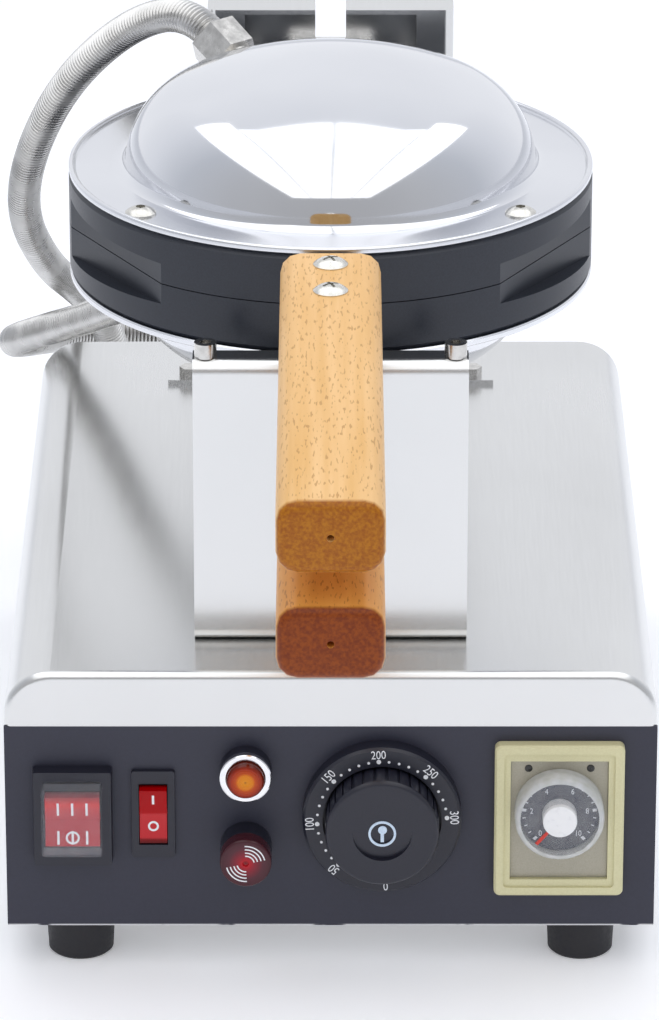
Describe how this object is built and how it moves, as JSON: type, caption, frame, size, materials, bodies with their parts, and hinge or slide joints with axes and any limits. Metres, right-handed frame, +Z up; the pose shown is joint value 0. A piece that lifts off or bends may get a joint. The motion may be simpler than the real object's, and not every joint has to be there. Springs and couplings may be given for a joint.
{
  "type": "round waffle maker",
  "caption": "Rotating round bubble-waffle maker with hinged domed pans, beech handles, ribbed steel hoses and a control panel with thermostat and timer.",
  "frame": {"origin": "on the table, under the middle of the machine without its hoses", "axes": "+X to the user's right, +Y to the back, along the handles and the flip axis, +Z up"},
  "size_m": [0.271, 0.6925, 0.3212],
  "materials": {
    "satin_steel": "satin stainless sheet",
    "polished_steel": "polished stainless, spun dome",
    "zinc_steel": "zinc-plated steel",
    "panel_paint": "smooth slate paint",
    "coated_casting": "black non-stick coated casting",
    "foot_rubber": "matte rubber",
    "black_plastic": "fine matte",
    "red_plastic": "translucent red",
    "dark_red_plastic": "dark red",
    "clear_plastic": "clear",
    "amber_plastic": "amber lens",
    "chrome_ring": "bright chrome",
    "beech": "lacquered beech",
    "cream_plastic": "cream moulded frame",
    "timer_plate": "silver-beige face",
    "white_plastic": "off-white",
    "hose_steel": "ribbed galvanised conduit",
    "fibre": "ceramic fibre felt",
    "heater_steel": "heat-tinted tube",
    "block_ceramic": "terminal ceramic"
  },
  "bodies": {
    "base": {"housing": "satin_steel", "bottom_plate": "zinc_steel", "feet": "foot_rubber", "foot_screws": "zinc_steel", "control_panel": "panel_paint", "power_switch_frame": "black_plastic", "splash_cover": "clear_plastic", "alarm_switch_frame": "black_plastic", "pilot_ring": "chrome_ring", "pilot_lens": "amber_plastic", "buzzer_body": "black_plastic", "buzzer_cap": "dark_red_plastic", "dial_plate": "black_plastic", "thermostat": "zinc_steel", "timer_frame": "cream_plastic", "timer_face": "timer_plate", "terminal_block": "block_ceramic", "upper_hose_outlet": "zinc_steel", "lower_hose_outlet": "zinc_steel", "cord_gland": "black_plastic", "rear_stand": "satin_steel", "bearing_block": "zinc_steel", "bearing_bolts": "zinc_steel", "stand_bolts": "zinc_steel", "front_bracket": "satin_steel", "rest_screws": "zinc_steel", "bracket_bolts": "zinc_steel", "upper_hose_base_run": "hose_steel", "lower_hose": "hose_steel"},
    "lower_pan": {"lower_pan": "coated_casting", "lower_handle": "beech", "lower_handle_screws": "zinc_steel", "lower_heater": "heater_steel", "lower_insulation": "fibre", "lower_cover": "polished_steel", "lower_cover_screws": "zinc_steel", "lower_hose_gland": "zinc_steel", "sensor_bulb": "heater_steel", "hinge_pin": "zinc_steel", "hinge_block": "zinc_steel", "pivot_shaft": "zinc_steel", "shaft_nut": "zinc_steel", "upper_hose_lid_run": "hose_steel"},
    "upper_pan": {"upper_pan": "coated_casting", "upper_handle": "beech", "upper_handle_screws": "zinc_steel", "upper_heater": "heater_steel", "upper_insulation": "fibre", "upper_cover": "polished_steel", "upper_cover_screws": "zinc_steel", "upper_hose_gland": "zinc_steel"},
    "power_rocker": {"power_rocker": "red_plastic"},
    "alarm_rocker": {"alarm_rocker": "dark_red_plastic"},
    "thermostat_knob": {"thermostat_knob": "black_plastic"},
    "timer_knob": {"timer_skirt": "clear_plastic", "timer_knob": "white_plastic"}
  },
  "joints": [
    {"name": "flip", "type": "hinge", "parent": "base", "child": "lower_pan", "pos_m": [0, 0.22, 0.257], "axis": [0, 1, 0], "range_deg": [-180, 0], "deforming": ["upper_hose_base_run", "upper_hose_lid_run", "lower_hose"]},
    {"name": "lid", "type": "hinge", "parent": "lower_pan", "child": "upper_pan", "pos_m": [0, 0.1984, 0.257], "axis": [-1, 0, 0], "range_deg": [0, 92], "deforming": ["upper_hose_lid_run"]},
    {"name": "power_rocker", "type": "hinge", "parent": "base", "child": "power_rocker", "pos_m": [-0.099, -0.07675, 0.066], "axis": [-1, 0, 0], "range_deg": [0, 14]},
    {"name": "alarm_rocker", "type": "hinge", "parent": "base", "child": "alarm_rocker", "pos_m": [-0.0681, -0.07275, 0.0662], "axis": [-1, 0, 0], "range_deg": [0, 14]},
    {"name": "thermostat_knob", "type": "hinge", "parent": "base", "child": "thermostat_knob", "pos_m": [0.0197, -0.074, 0.0663], "axis": [0, 1, 0], "range_deg": [0, 270]},
    {"name": "timer_knob", "type": "hinge", "parent": "base", "child": "timer_knob", "pos_m": [0.0877, -0.074, 0.0684], "axis": [0, 1, 0], "range_deg": [0, 270]}
  ]
}
